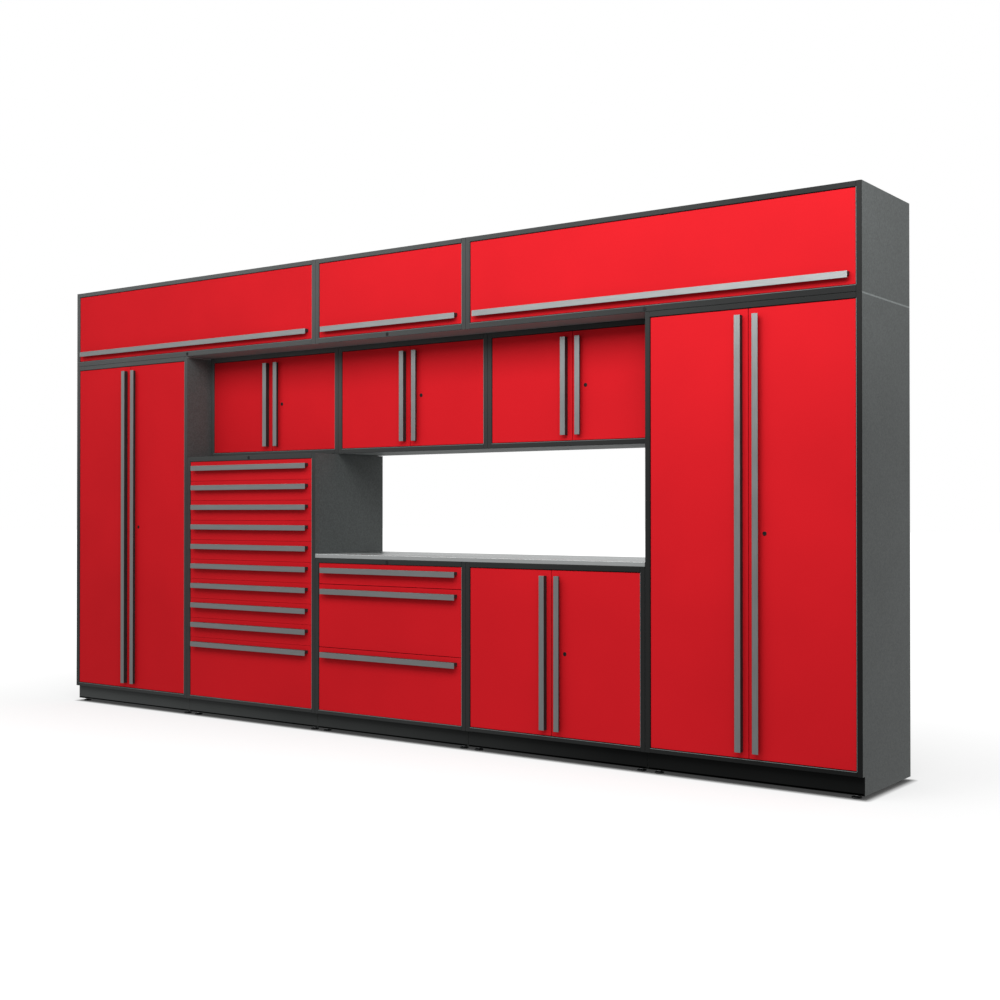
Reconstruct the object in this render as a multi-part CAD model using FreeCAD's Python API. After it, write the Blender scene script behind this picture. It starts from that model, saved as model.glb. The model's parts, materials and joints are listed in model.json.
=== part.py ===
"""Modular steel garage cabinet wall: lockers, drawer chests, worktop, wall and overhead cabinets.

Millimetres, +Z up, origin at the bottom centre of the whole set, fronts facing -Y.
Every case, tray and door is made of folded sheet panels, each its own solid, a hair apart.
"""
import FreeCAD
import Part
import os

V = FreeCAD.Vector

# ---- driving dimensions -------------------------------------------------------------------
MODULE = 900.0            # width of one module, side to side
MODULES = 5
DEPTH = 490.0             # case depth, frame face to back
WALL_DEPTH = 330.0        # depth of the shallow wall cabinets
HANDLE_REACH = 20.0       # how far handle plates stand in front of the frame face
FOOT_HEIGHT = 15.0        # floor to underside of the floor cases
TOE_KICK = 70.0           # height of the toe kick
TOE_RECESS = 20.0
SEAM = 0.6                # half the gap between neighbouring cases

SHEET = 1.2               # case and panel sheet
SPLIT = 0.2               # gap that keeps neighbouring panels of one case separate solids
STILE = 22.0              # visible width of the side frame
TOP_RAIL = 22.0
BOTTOM_RAIL = 18.0
LIP = 24.0                # depth of the frame's inward returns

FRONT_GAP = 2.5           # gap round doors and drawer fronts
CHEST_SEAM = 1.0          # closer gap between the ten fronts of the tall chest
FRONT_INSET = 3.5         # door face behind the frame face
LEAF = 18.0               # thickness of doors and drawer fronts
LEAF_SHEET = 1.0
DRILL_PAST = 2.0          # how far drills run past the sheet they cut

TALL_TOP = 1835.0         # top of the lockers
CHEST_TOP = 1318.0
BASE_TOP = 820.0
WORKTOP = 20.0
WORKTOP_RIB = 20.0        # width of each stiffening rib
RIB_SHORT = 3.0           # ribs stop short of the ends
WALL_BOTTOM = 1320.0
TOTAL_HEIGHT = 2237.0
CHEST_RAIL = 24.0
OVERHEAD_LOW_RAIL = 26.0
OVERHEAD_TOP_RAIL = 21.0
CHEST_ROWS = (1,) * 9 + (3,)      # front heights from the top, in drawer units
BASE_ROWS = (1, 3, 3)

HANDLE_PLATE = 25.0       # width of the handle's front plate
HANDLE_PLATE_T = 2.0
HANDLE_BODY = 15.0        # width of the dark profile behind it
HANDLE_WALL = 2.5
HANDLE_SETBACK = 23.0     # front edge to handle, and handle end to front end
DRAWER_HANDLE_DROP = 21.0 # top of a drawer front to its handle

PIN_R = 3.0
PIN_CLEAR = 0.05          # running clearance in the hinge bores
PIN_IN = 9.0              # pivot, in from the hinge edge
PIN_BACK = 5.0            # pivot, behind the front's face
PIN_REACH = 5.3           # how far a pin stands out of its leaf
PIN_ROOT = 8.0            # how far it runs inside
BRACKET = 3.0
BRACKET_LEN = 20.0

LOCK_R = 8.5
LOCK_PROUD = 1.0
KEYWAY = (2.0, 8.0)
CAM_BEHIND = 1.0          # cam behind a door's inner skin
RAIL_CAM_BEHIND = 3.0     # cam behind a rail's inward return
LOCK_FROM_SEAM = 66.0
LOCK_HOLE_CLEAR = 0.15
CAM_LEN = 17.0
CAM_W = 9.0
CAM_T = 2.0

TRAY_SHEET = 1.0
TRAY_DEPTH = 400.0
TRAY_SHORT = 21.0         # tray top below the top of its drawer unit
TRAY_RISE = 6.0           # tray floor above the bottom edge of its front
TRAY_CLEAR = 2.0          # tray side to runner
RUNNER_H = 42.0           # fixed channel of a slide
RUNNER_W = 12.5
RUNNER_LEN = 400.0
RUNNER_RISE = 10.0        # channel above the tray floor
RUNNER_BACKSET = 6.0      # channel behind the drawer front
BAR_T = 5.0               # moving bar of a slide, inside the channel
BAR_GAP = 1.5
BAR_EDGE = 6.0
BAR_SHORT = 30.0
POST_W = 30.0             # upright that carries the channels
POST_FROM_BACK = 60.0

SHELF_GAP = 1.0
SHELF_BACKSET = 38.0      # shelf front behind the frame face
SHELF_LIP = 22.0
TALL_SHELVES = 3

FOOT_R = 20.0
FOOT_NECK_R = 12.0
FOOT_DISC = 7.0
FOOT_STEM_R = 5.0
FOOT_STEM_TOP = 34.0
FOOT_IN_X = 40.0
FOOT_IN_Y = 45.0
FOOT_PLATE = 3.0

HANG_HOLE_R = 4.0         # wall screws through the backs
HANG_FROM_SIDE = 50.0
HANG_FROM_EDGE = 60.0

STRUT_SIDE = 36.0         # strut line, in from the case side
STRUT_PIVOT = (190.0, -40.0)      # case pivot behind and above the lift hinge line (y, z)
STRUT_STUD = (30.0, -60.0)        # door stud at rest, from the hinge line (y, z)
STRUT_TUBE_R = 7.5
STRUT_BORE_R = 5.0
STRUT_ROD_R = 4.0
STRUT_TUBE_LEN = 132.0
STRUT_LUG = 8.0           # pivot centre to the start of the tube body
STRUT_END = 6.0           # closed end of the tube
ROD_TAIL = 4.0            # rod end to the closed end, door shut
STRUT_EYE_R = 8.0
STRUT_EYE_W = 6.0
STRUT_GAP = 1.0           # side play of struts on their studs
STUD_R = 3.0

# ---- derived levels -----------------------------------------------------------------------
TOTAL_WIDTH = MODULE * MODULES
FACE_Y = -(DEPTH + HANDLE_REACH) / 2 + HANDLE_REACH
BACK_Y = FACE_Y + DEPTH
WALL_Y = BACK_Y - WALL_DEPTH
DECK_Z = FOOT_HEIGHT + TOE_KICK
FLOOR_OPEN_Z = DECK_Z + BOTTOM_RAIL
TALL_OPEN = (FLOOR_OPEN_Z, TALL_TOP - TOP_RAIL)
CHEST_OPEN = (FLOOR_OPEN_Z, CHEST_TOP - CHEST_RAIL)
BASE_OPEN = (FLOOR_OPEN_Z, BASE_TOP - TOP_RAIL)
WALL_OPEN = (WALL_BOTTOM + TOP_RAIL, TALL_TOP - TOP_RAIL)
OVERHEAD_OPEN = (TALL_TOP + OVERHEAD_LOW_RAIL, TOTAL_HEIGHT - OVERHEAD_TOP_RAIL)


def module_x(index):
    """Left side of a module."""
    return -TOTAL_WIDTH / 2 + index * MODULE


def block(x, y, z):
    """Box from three (low, high) pairs."""
    return Part.makeBox(x[1] - x[0], y[1] - y[0], z[1] - z[0], V(x[0], y[0], z[0]))


def rod(radius, length, start, direction):
    """Round bar from a start point."""
    return Part.makeCylinder(radius, length, V(*start), V(*direction))


def export(node, solids):
    """Write one node; several solids stay separate in a compound."""
    shape = solids[0] if len(solids) == 1 else Part.makeCompound(solids)
    shape.exportStep(f"parts/{node}.step")


# ---- cases --------------------------------------------------------------------------------
def hanging_holes(x, z, y):
    """Four wall screw holes through a back panel."""
    return [rod(HANG_HOLE_R, 4 * SHEET, (hx, y - 2 * SHEET, hz), (0, 1, 0))
            for hx in (x[0] + HANG_FROM_SIDE, x[1] - HANG_FROM_SIDE)
            for hz in (z[0] + HANG_FROM_EDGE, z[1] - HANG_FROM_EDGE)]


def shell(x, front_y, z, deck_z, screws):
    """Sides, back, top and deck of one case; a floor case has its toe kick below the deck."""
    inner_x = (x[0] + SHEET + SPLIT, x[1] - SHEET - SPLIT)
    panel_y = (front_y + SHEET + SPLIT, BACK_Y)
    inner_y = (panel_y[0], BACK_Y - SHEET - SPLIT)
    on_floor = deck_z > z[0]
    solids = []
    for side in (x[0], x[1] - SHEET):
        side_x = (side, side + SHEET)
        if on_floor:
            kick_y = front_y + TOE_RECESS
            solids.append(block(side_x, (kick_y, BACK_Y), (z[0], deck_z - SPLIT)))
            solids.append(block(side_x, panel_y, (deck_z, z[1])))
        else:
            solids.append(block(side_x, panel_y, z))
    back = block(inner_x, (BACK_Y - SHEET, BACK_Y), z)
    if screws:
        for hole in hanging_holes(x, (max(z[0], deck_z), z[1]), BACK_Y):
            back = back.cut(hole)
    solids.append(back)
    solids.append(block(inner_x, inner_y, (z[1] - SHEET, z[1])))
    solids.append(block(inner_x, inner_y, (deck_z, deck_z + SHEET)))
    if on_floor:
        kick = (front_y + TOE_RECESS, front_y + TOE_RECESS + SHEET)
        solids.append(block(inner_x, kick, (z[0], deck_z - SPLIT)))
        solids += foot_plates(x, front_y, z[0])
    return solids


def foot_spots(x, front_y):
    """Centres of a floor case's four levelling feet."""
    return [(fx, fy) for fx in (x[0] + FOOT_IN_X, x[1] - FOOT_IN_X)
            for fy in (front_y + FOOT_IN_Y, BACK_Y - FOOT_IN_Y)]


def foot_plates(x, front_y, z):
    """Pairs of clamp plates inside the plinth, one each side of every foot's stem."""
    plates = []
    for fx, fy in foot_spots(x, front_y):
        for side in (-1, 1):
            ends = sorted((fx + side * (FOOT_STEM_R + PIN_CLEAR), fx + side * FOOT_R))
            plates.append(block(ends, (fy - FOOT_R, fy + FOOT_R), (z, z + FOOT_PLATE)))
    return plates


def face_frame(x, front_y, z, opening, lip_ends, lock=None):
    """Stiles and rails of the front frame, with their inward returns.

    lip_ends: what the returns leave free at the corners, (side returns, rail returns).
    lock: (x, z) of a cylinder hole through a rail.
    """
    face = (front_y, front_y + SHEET)
    lip_y = (front_y + SHEET + SPLIT, front_y + LIP)
    open_x = (x[0] + STILE, x[1] - STILE)
    rail_x = (open_x[0] + SPLIT, open_x[1] - SPLIT)
    low_z = z[0] if z[0] >= WALL_BOTTOM else DECK_Z
    side_free, rail_free = lip_ends
    solids = [block((x[0], open_x[0]), face, (low_z, z[1])),
              block((open_x[1], x[1]), face, (low_z, z[1]))]
    for rail_z in ((low_z, opening[0]), (opening[1], z[1])):
        rail = block(rail_x, face, rail_z)
        if lock and rail_z[0] < lock[1] < rail_z[1]:
            rail = rail.cut(rod(LOCK_R + LOCK_HOLE_CLEAR, 4 * SHEET,
                                (lock[0], front_y - SHEET, lock[1]), (0, 1, 0)))
        solids.append(rail)
    lip_z = (opening[0] + SPLIT, opening[1] - SPLIT - side_free)
    solids += [block((open_x[0] - SHEET, open_x[0]), lip_y, lip_z),
               block((open_x[1], open_x[1] + SHEET), lip_y, lip_z)]
    lip_x = (rail_x[0] + rail_free, rail_x[1] - rail_free)
    low_lip = block(lip_x, lip_y, (opening[0] - SHEET, opening[0]))
    top_lip = block(lip_x, lip_y, (opening[1], opening[1] + SHEET))
    return solids + [low_lip, top_lip]


def door_brackets(x, front_y, opening):
    """Drilled hinge plates above and below each door of a pair."""
    brackets = []
    y = (front_y + SHEET + SPLIT, front_y + LIP)
    pin_y = front_y + FRONT_INSET + PIN_BACK
    for edge, sign in ((x[0] + STILE, 1), (x[1] - STILE, -1)):
        ends = sorted((edge + sign * SPLIT, edge + sign * BRACKET_LEN))
        pin_x = edge + sign * (FRONT_GAP + PIN_IN)
        for low in (opening[0] - BRACKET, opening[1]):
            plate = block(ends, y, (low, low + BRACKET))
            bore = rod(PIN_R + PIN_CLEAR, 3 * BRACKET, (pin_x, pin_y, low - BRACKET), (0, 0, 1))
            brackets.append(plate.cut(bore))
    return brackets


def lift_brackets(x, front_y, opening):
    """Drilled hinge plates at the two upper corners of an overhead opening."""
    brackets = []
    y = (front_y + SHEET + SPLIT, front_y + LIP)
    z = (opening[1] - BRACKET_LEN, opening[1] - SPLIT)
    pivot_y, pivot_z = lift_axis()
    for low in (x[0] + STILE - BRACKET, x[1] - STILE):
        plate = block((low, low + BRACKET), y, z)
        bore = rod(PIN_R + PIN_CLEAR, 3 * BRACKET, (low - BRACKET, pivot_y, pivot_z), (1, 0, 0))
        brackets.append(plate.cut(bore))
    return brackets


def runner_posts(x, opening):
    """Upright channels that carry the drawer runners, as flat plates."""
    z = (opening[0] + SHEET, opening[1] - SHEET)
    posts = []
    for low in (x[0] + STILE - 2 * SHEET, x[1] - STILE + SHEET):
        for y in (FACE_Y + LIP + RUNNER_BACKSET, BACK_Y - POST_FROM_BACK):
            posts.append(block((low, low + SHEET), (y, y + POST_W), z))
    return posts


def case_x(first, count=1):
    """Outside width of a case over one or more modules."""
    return (module_x(first) + SEAM, module_x(first + count) - SEAM)


def door_case(node, index, front_y, z, opening, deck_z):
    """Case with a pair of hinged doors."""
    x = case_x(index)
    solids = shell(x, front_y, z, deck_z, screws=True)
    solids += face_frame(x, front_y, z, opening, (0.0, BRACKET_LEN))
    solids += door_brackets(x, front_y, opening)
    export(node, solids)


def drawer_case(node, index, z, opening):
    """Case with a stack of drawers and a lock in its top rail."""
    x = case_x(index)
    solids = shell(x, FACE_Y, z, DECK_Z, screws=False)
    solids += face_frame(x, FACE_Y, z, opening, (0.0, 0.0), lock=rail_lock(index, 1, z, opening))
    solids += runner_posts(x, opening)
    export(node, solids)


def overhead_case(node, first, count):
    """Overhead case with a lift-up door and strut pivots on its sides."""
    x = case_x(first, count)
    z = (TALL_TOP + SEAM, TOTAL_HEIGHT)
    solids = shell(x, FACE_Y, z, z[0], screws=True)
    lock = overhead_lock(first, count)
    solids += face_frame(x, FACE_Y, z, OVERHEAD_OPEN, (BRACKET_LEN, 0.0), lock=lock)
    solids += lift_brackets(x, FACE_Y, OVERHEAD_OPEN)
    py, pz = strut_pivot()
    reach = STRUT_SIDE - STRUT_TUBE_R - STRUT_GAP - SHEET - SPLIT
    for start, way in ((x[0] + SHEET + SPLIT, 1), (x[1] - SHEET - SPLIT, -1)):
        solids.append(rod(2 * STUD_R, reach, (start, py, pz), (way, 0, 0)))
        tip = start + way * (reach + SPLIT)
        solids.append(rod(STUD_R, 2 * STRUT_TUBE_R + STRUT_GAP - SPLIT, (tip, py, pz), (way, 0, 0)))
    export(node, solids)


# ---- fronts -------------------------------------------------------------------------------
def leaf_panels(x, y0, z, holes_front=(), pins=()):
    """Double-skin front: two skins and four edge strips, with drilled holes and pins."""
    s, g = LEAF_SHEET, SPLIT
    y = (y0, y0 + LEAF)
    mid_y = (y0 + s + g, y0 + LEAF - s - g)
    skins = [block(x, (y[0], y[0] + s), z), block(x, (y[1] - s, y[1]), z)]
    edges = [block(x, mid_y, (z[0], z[0] + s)), block(x, mid_y, (z[1] - s, z[1])),
             block((x[0], x[0] + s), mid_y, (z[0] + s + g, z[1] - s - g)),
             block((x[1] - s, x[1]), mid_y, (z[0] + s + g, z[1] - s - g))]
    for hx, hz in holes_front:
        drill = rod(LOCK_R + LOCK_HOLE_CLEAR, LEAF + 2 * DRILL_PAST, (hx, y0 - DRILL_PAST, hz), (0, 1, 0))
        skins = [skin.cut(drill) for skin in skins]
    for start, way in pins:
        centre = V(*start)
        out = V(*way)
        hole = rod(PIN_R + g, 2 * DRILL_PAST, tuple(centre - out * DRILL_PAST), way)
        edges = [edge.cut(hole) for edge in edges]
        edges.append(rod(PIN_R, PIN_ROOT + PIN_REACH, tuple(centre - out * PIN_ROOT), way))
    return skins + edges


def handle(along, across, y_leaf, vertical, flush_high):
    """Full-length pull: a wide front plate on a narrower hollow profile with end caps.

    along: (low, high) of its length; across: (low, high) of the plate's width;
    flush_high: the profile lies at the plate's high edge, otherwise at its low edge.
    """
    plate_front = y_leaf - FRONT_INSET - HANDLE_REACH
    plate_y = (plate_front, plate_front + HANDLE_PLATE_T)
    body_y = (plate_y[1] + SPLIT, y_leaf - SPLIT)
    body = (across[0], across[0] + HANDLE_BODY)
    if flush_high:
        body = (across[1] - HANDLE_BODY, across[1])
    t = HANDLE_WALL
    cap_inner = (along[0] + t + SPLIT, along[1] - t - SPLIT)
    pieces = [(along, across, plate_y),
              ((along[0], along[0] + t), body, body_y),
              ((along[1] - t, along[1]), body, body_y),
              (cap_inner, (body[0], body[0] + t), body_y),
              (cap_inner, (body[1] - t, body[1]), body_y)]
    if vertical:
        return [block(a, y, l) for l, a, y in pieces]
    return [block(l, y, a) for l, a, y in pieces]


def hinged_door(node, index, side, front_y, opening):
    """One door of a pair; side is 'left' or 'right', and the right one is drilled for its lock."""
    x = case_x(index)
    middle = (x[0] + x[1]) / 2
    z = (opening[0] + FRONT_GAP, opening[1] - FRONT_GAP)
    y0 = front_y + FRONT_INSET
    if side == "left":
        leaf_x = (x[0] + STILE + FRONT_GAP, middle - FRONT_GAP / 2)
        pin_x = leaf_x[0] + PIN_IN
        plate = (leaf_x[1] - HANDLE_SETBACK - HANDLE_PLATE, leaf_x[1] - HANDLE_SETBACK)
        holes = []
    else:
        leaf_x = (middle + FRONT_GAP / 2, x[1] - STILE - FRONT_GAP)
        pin_x = leaf_x[1] - PIN_IN
        plate = (leaf_x[0] + HANDLE_SETBACK, leaf_x[0] + HANDLE_SETBACK + HANDLE_PLATE)
        holes = [(middle + LOCK_FROM_SEAM, (z[0] + z[1]) / 2)]
    pin_y = y0 + PIN_BACK
    pins = [((pin_x, pin_y, z[0]), (0, 0, -1)), ((pin_x, pin_y, z[1]), (0, 0, 1))]
    solids = leaf_panels(leaf_x, y0, z, holes, pins)
    along = (z[0] + HANDLE_SETBACK, z[1] - HANDLE_SETBACK)
    solids += handle(along, plate, y0, vertical=True, flush_high=(side == "left"))
    export(node, solids)


def tray_box(index, z):
    """Outside of the tray behind a drawer front whose unit span is z: (x, y, z) pairs."""
    x = case_x(index)
    side = STILE + RUNNER_W + TRAY_CLEAR
    front = FACE_Y + FRONT_INSET + LEAF
    return ((x[0] + side, x[1] - side), (front + SPLIT, front + TRAY_DEPTH),
            (z[0] + FRONT_GAP / 2 + TRAY_RISE, z[1] - TRAY_SHORT))


def drawer(node, index, z, seam):
    """Front, tray, handle and inner runner members of one drawer.

    z is its unit span, seam the gap between neighbouring fronts. Returns the height of its runners.
    """
    x = case_x(index)
    leaf_x = (x[0] + STILE + FRONT_GAP, x[1] - STILE - FRONT_GAP)
    leaf_z = (z[0] + seam / 2, z[1] - seam / 2)
    y0 = FACE_Y + FRONT_INSET
    solids = leaf_panels(leaf_x, y0, leaf_z)
    top = leaf_z[1] - DRAWER_HANDLE_DROP
    solids += handle((leaf_x[0] + HANDLE_SETBACK, leaf_x[1] - HANDLE_SETBACK),
                     (top - HANDLE_PLATE, top), y0, vertical=False, flush_high=True)
    t, g = TRAY_SHEET, SPLIT
    tray_x, tray_y, tray_z = tray_box(index, z)
    solids.append(block(tray_x, tray_y, (tray_z[0], tray_z[0] + t)))
    wall_z = (tray_z[0] + t + g, tray_z[1])
    for low in (tray_x[0], tray_x[1] - t):
        solids.append(block((low, low + t), tray_y, wall_z))
    solids.append(block((tray_x[0] + t + g, tray_x[1] - t - g), (tray_y[1] - t, tray_y[1]), wall_z))
    runner_z = tray_z[0] + RUNNER_RISE
    bar_y = (tray_y[0] + RUNNER_BACKSET, tray_y[0] + RUNNER_LEN - BAR_SHORT)
    bar_z = (runner_z + BAR_EDGE, runner_z + RUNNER_H - BAR_EDGE)
    for low in (tray_x[0] - BAR_GAP - BAR_T, tray_x[1] + BAR_GAP):
        solids.append(block((low, low + BAR_T), bar_y, bar_z))
    export(node, solids)
    return runner_z


def runner_channels(index, low_z):
    """Fixed outer members of one drawer's slides: web and two flanges, open towards the tray."""
    x = case_x(index)
    front = FACE_Y + FRONT_INSET + LEAF + RUNNER_BACKSET
    y = (front, front + RUNNER_LEN)
    z = (low_z, low_z + RUNNER_H)
    channels = []
    for wall, way in ((x[0] + STILE + SPLIT, 1), (x[1] - STILE - SPLIT, -1)):
        web = sorted((wall, wall + way * SHEET))
        flange = sorted((wall, wall + way * (RUNNER_W - BAR_GAP)))
        channels += [block(web, y, (z[0] + SHEET + SPLIT, z[1] - SHEET - SPLIT)),
                     block(flange, y, (z[0], z[0] + SHEET)),
                     block(flange, y, (z[1] - SHEET, z[1]))]
    return channels


def drawer_stack(prefix, index, opening, rows, seam):
    """All drawers of one case, from the top down. Returns their fixed runner members."""
    margin = (FRONT_GAP - seam) / 2
    unit = (opening[1] - opening[0] - 2 * margin) / sum(rows)
    top = opening[1] - margin
    channels = []
    for number, units in enumerate(rows, start=1):
        low = top - units * unit
        runner_z = drawer(f"{prefix}_{number:02d}", index, (low, top), seam)
        channels += runner_channels(index, runner_z)
        top = low
    return channels


# ---- lift doors and their struts ----------------------------------------------------------
def lift_axis():
    """Hinge line of the lift doors: (y, z)."""
    return FACE_Y + FRONT_INSET + PIN_BACK, OVERHEAD_OPEN[1] - FRONT_GAP - PIN_IN


def strut_pivot():
    """Case end of the struts: (y, z)."""
    y, z = lift_axis()
    return y + STRUT_PIVOT[0], z + STRUT_PIVOT[1]


def strut_lines(x):
    """Strut centre lines of one case, with the way from the side towards the middle."""
    return ((x[0] + STRUT_SIDE, 1), (x[1] - STRUT_SIDE, -1))


def lift_door(node, first, count):
    """Top-hung door with its handle, side pins and strut studs."""
    x = case_x(first, count)
    leaf_x = (x[0] + STILE + FRONT_GAP, x[1] - STILE - FRONT_GAP)
    z = (OVERHEAD_OPEN[0] + FRONT_GAP, OVERHEAD_OPEN[1] - FRONT_GAP)
    y0 = FACE_Y + FRONT_INSET
    pivot_y, pivot_z = lift_axis()
    pins = [((leaf_x[0], pivot_y, pivot_z), (-1, 0, 0)), ((leaf_x[1], pivot_y, pivot_z), (1, 0, 0))]
    solids = leaf_panels(leaf_x, y0, z, (), pins)
    low = z[0] + HANDLE_SETBACK
    solids += handle((leaf_x[0] + HANDLE_SETBACK, leaf_x[1] - HANDLE_SETBACK),
                     (low, low + HANDLE_PLATE), y0, vertical=False, flush_high=True)
    stud_y, stud_z = pivot_y + STRUT_STUD[0], pivot_z + STRUT_STUD[1]
    leaf_back = y0 + LEAF + SPLIT
    for line, way in strut_lines(x):
        near = line + way * (STRUT_EYE_W / 2 + STRUT_GAP)
        arm_x = sorted((near, near + way * BRACKET))
        arm_y = (leaf_back, stud_y + STRUT_EYE_R)
        solids.append(block(arm_x, arm_y, (stud_z - STRUT_EYE_R, stud_z + STRUT_EYE_R)))
    export(node, solids)


def strut_set(prefix, first, count):
    """Tubes and rods of the two gas struts of one overhead case."""
    x = case_x(first, count)
    py, pz = strut_pivot()
    hy, hz = lift_axis()
    way = V(0, hy + STRUT_STUD[0] - py, hz + STRUT_STUD[1] - pz)
    length = way.Length
    way = way / length
    tubes, rods = [], []
    for line, _ in strut_lines(x):
        start = V(line, py, pz)
        body = Part.makeCylinder(STRUT_TUBE_R, STRUT_TUBE_LEN - STRUT_LUG, start + way * STRUT_LUG, way)
        lug = rod(2 * STUD_R, 2 * STRUT_TUBE_R - 2, (line - STRUT_TUBE_R + 1, py, pz), (1, 0, 0))
        bore_start = start + way * (STRUT_LUG + STRUT_END)
        bore = Part.makeCylinder(STRUT_BORE_R, STRUT_TUBE_LEN, bore_start, way)
        stud_hole = rod(STUD_R + PIN_CLEAR, 4 * STRUT_TUBE_R, (line - 2 * STRUT_TUBE_R, py, pz), (1, 0, 0))
        tubes.append(body.fuse(lug).cut(bore).cut(stud_hole))
        tail = STRUT_LUG + STRUT_END + ROD_TAIL
        shaft = Part.makeCylinder(STRUT_ROD_R, length - tail, start + way * tail, way)
        tip = start + way * length
        eye_start = (line - STRUT_EYE_W / 2, tip.y, tip.z)
        rods.append(shaft.fuse(rod(STRUT_EYE_R, STRUT_EYE_W, eye_start, (1, 0, 0))))
    export(f"{prefix}_strut_tubes", tubes)
    export(f"{prefix}_strut_rods", rods)


# ---- locks --------------------------------------------------------------------------------
def rail_lock(first, count, z, opening):
    """Lock centre in the middle of a top rail."""
    return (module_x(first) + count * MODULE / 2, (opening[1] + z[1]) / 2)


def overhead_lock(first, count):
    """Lock centre in the low rail of an overhead case."""
    return (module_x(first) + count * MODULE / 2, (TALL_TOP + OVERHEAD_OPEN[0]) / 2)


def cam_lock(node, spot, face_y, cam_y):
    """Cylinder with its head just proud of the panel and a cam behind it."""
    x, z = spot
    head_y = face_y - LOCK_PROUD
    barrel = rod(LOCK_R, cam_y + CAM_T - head_y, (x, head_y, z), (0, 1, 0))
    cam = block((x, x + CAM_LEN), (cam_y, cam_y + CAM_T), (z - CAM_W / 2, z + CAM_W / 2))
    half_w, half_h = KEYWAY[0] / 2, KEYWAY[1] / 2
    keyway = block((x - half_w, x + half_w), (head_y - LOCK_PROUD, head_y + LOCK_PROUD),
                   (z - half_h, z + half_h))
    export(node, [barrel.fuse(cam).cut(keyway)])


def door_lock(node, index, front_y, opening):
    """Lock of a right-hand door, beside its handle at mid height."""
    x = case_x(index)
    spot = ((x[0] + x[1]) / 2 + LOCK_FROM_SEAM, (opening[0] + opening[1]) / 2)
    face = front_y + FRONT_INSET
    cam_lock(node, spot, face, face + LEAF + CAM_BEHIND)


# ---- shelves, worktop, feet ---------------------------------------------------------------
def shelf(index, front_y, z):
    """Folded shelf: deck and front lip."""
    x = case_x(index)
    sx = (x[0] + SHEET + SHELF_GAP, x[1] - SHEET - SHELF_GAP)
    front = front_y + SHELF_BACKSET
    back = BACK_Y - SHEET - SHELF_GAP
    return [block(sx, (front, back), (z, z + SHEET)),
            block(sx, (front, front + SHEET), (z - SHELF_LIP, z - SPLIT))]


def shelf_levels(opening, count):
    """Shelf heights, evenly spaced in an opening."""
    step = (opening[1] - opening[0]) / (count + 1)
    return [opening[0] + number * step for number in range(1, count + 1)]


def shelves():
    """All shelves of the door cabinets."""
    solids = []
    for index in (0, 4):
        for z in shelf_levels(TALL_OPEN, TALL_SHELVES):
            solids += shelf(index, FACE_Y, z)
    solids += shelf(3, FACE_Y, shelf_levels(BASE_OPEN, 1)[0])
    for index in (1, 2, 3):
        solids += shelf(index, WALL_Y, shelf_levels(WALL_OPEN, 1)[0])
    export("shelves", solids)


def worktop():
    """Folded steel top over the two base cabinets, with two stiffening ribs."""
    x = (module_x(2) + SEAM, module_x(4) - SEAM)
    y = (FACE_Y, BACK_Y)
    z = (BASE_TOP + SEAM, BASE_TOP + WORKTOP)
    skirt = (z[0], z[1] - SHEET - SPLIT)
    inner = (y[0] + SHEET + SPLIT, y[1] - SHEET - SPLIT)
    solids = [block(x, y, (z[1] - SHEET, z[1])),
              block(x, (y[0], y[0] + SHEET), skirt), block(x, (y[1] - SHEET, y[1]), skirt),
              block((x[0], x[0] + SHEET), inner, skirt), block((x[1] - SHEET, x[1]), inner, skirt)]
    for third in (1, 2):
        rib_y = y[0] + DEPTH * third / 3
        solids.append(block((x[0] + RIB_SHORT, x[1] - RIB_SHORT), (rib_y, rib_y + WORKTOP_RIB), skirt))
    export("worktop", solids)


def levelling_feet():
    """Four feet under each floor case: disc, neck and threaded stem."""
    rounds = ((FOOT_R, 0.0, FOOT_DISC), (FOOT_NECK_R, FOOT_DISC + SPLIT, FOOT_HEIGHT - SPLIT),
              (FOOT_STEM_R, FOOT_HEIGHT, FOOT_STEM_TOP))
    feet = [rod(radius, high - low, (fx, fy, low), (0, 0, 1))
            for index in range(MODULES)
            for fx, fy in foot_spots(case_x(index), FACE_Y)
            for radius, low, high in rounds]
    export("levelling_feet", feet)


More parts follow.
